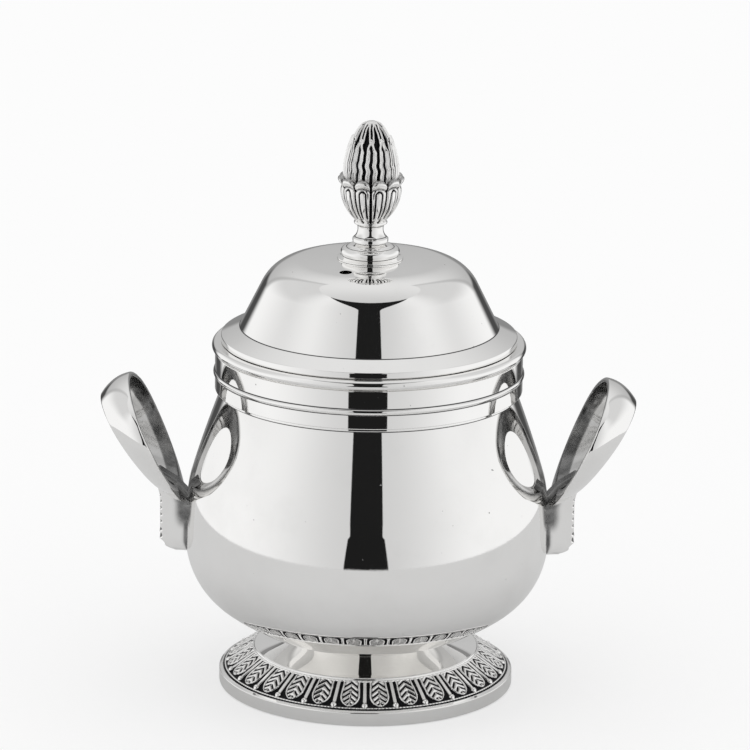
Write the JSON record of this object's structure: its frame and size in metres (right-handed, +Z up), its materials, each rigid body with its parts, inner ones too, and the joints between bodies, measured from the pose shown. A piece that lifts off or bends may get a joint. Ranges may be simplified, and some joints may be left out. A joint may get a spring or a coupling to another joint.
{
  "type": "lidded sugar bowl",
  "caption": "Footed silver sugar bowl with two loop handles, a leaf-bordered foot and a domed lift-off lid with a bud finial",
  "frame": {"origin": "centre of the foot's standing face, on the axis of the bowl", "axes": "+Z up along the bowl's axis, X through the two handles, Y from front to back"},
  "size_m": [0.1422, 0.0966, 0.1532],
  "materials": {
    "polished_silver": "mirror-polished silver plate",
    "relief_silver": "polished relief with a darkened ground",
    "cast_silver": "polished casting, greyer inside the loops",
    "steel_hardware": "plain machined"
  },
  "bodies": {
    "bowl": {"bowl_pan": "polished_silver", "bowl_wall": "polished_silver", "neck_collar": "polished_silver", "rim_ring": "polished_silver", "foot_base_ring": "polished_silver", "foot_frieze": "relief_silver", "foot_pedestal": "polished_silver", "handle_left": "cast_silver", "handle_right": "cast_silver"},
    "lid": {"lid_dome": "polished_silver", "lid_bezel": "polished_silver", "finial_base": "polished_silver", "finial_stem": "polished_silver", "finial_cup": "relief_silver", "finial_cone": "relief_silver", "finial_stud": "steel_hardware", "finial_washer": "steel_hardware", "finial_nut": "steel_hardware"}
  },
  "joints": [
    {"name": "lid_lift", "type": "slide", "parent": "bowl", "child": "lid", "axis": [0, 0, 1], "range_m": [0, 0.06]}
  ]
}
